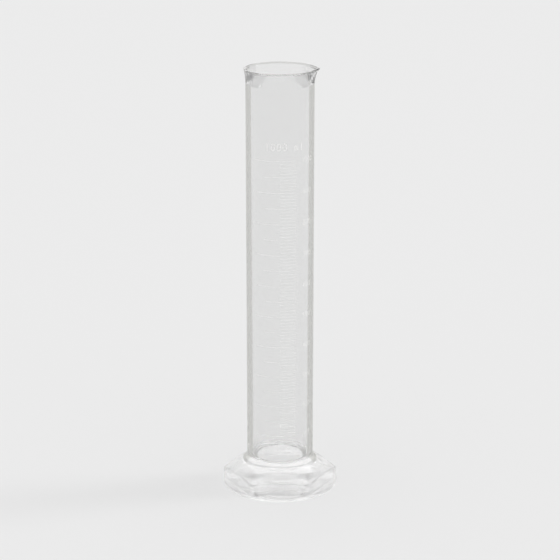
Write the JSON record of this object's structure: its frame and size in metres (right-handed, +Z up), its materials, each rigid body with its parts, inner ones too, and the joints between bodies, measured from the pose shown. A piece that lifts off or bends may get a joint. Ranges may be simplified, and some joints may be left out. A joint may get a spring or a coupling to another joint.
{
  "type": "graduated cylinder",
  "caption": "Tall clear glass measuring cylinder with a flared rim, a pouring spout, a fired enamel scale and a pressed glass foot with six flat sides on a round base.",
  "frame": {"origin": "centre of the foot's standing ring, on the surface that the cylinder stands on", "axes": "+Z up along the tube's axis; +X towards the pouring spout; the scale faces -Y, turned a little towards +X"},
  "size_m": [0.126, 0.126, 0.464],
  "materials": {
    "tube_glass": "clear drawn glass with a faint green-grey edge, fire-polished rim",
    "foot_glass": "clear pressed glass, slightly wavy",
    "enamel": "thin white fired enamel, satin"
  },
  "bodies": {
    "root": {"tube": "tube_glass", "foot": "foot_glass", "long_graduations": "enamel", "middle_graduations": "enamel", "short_graduations": "enamel", "scale_numerals": "enamel", "capacity_mark": "enamel"}
  },
  "joints": []
}
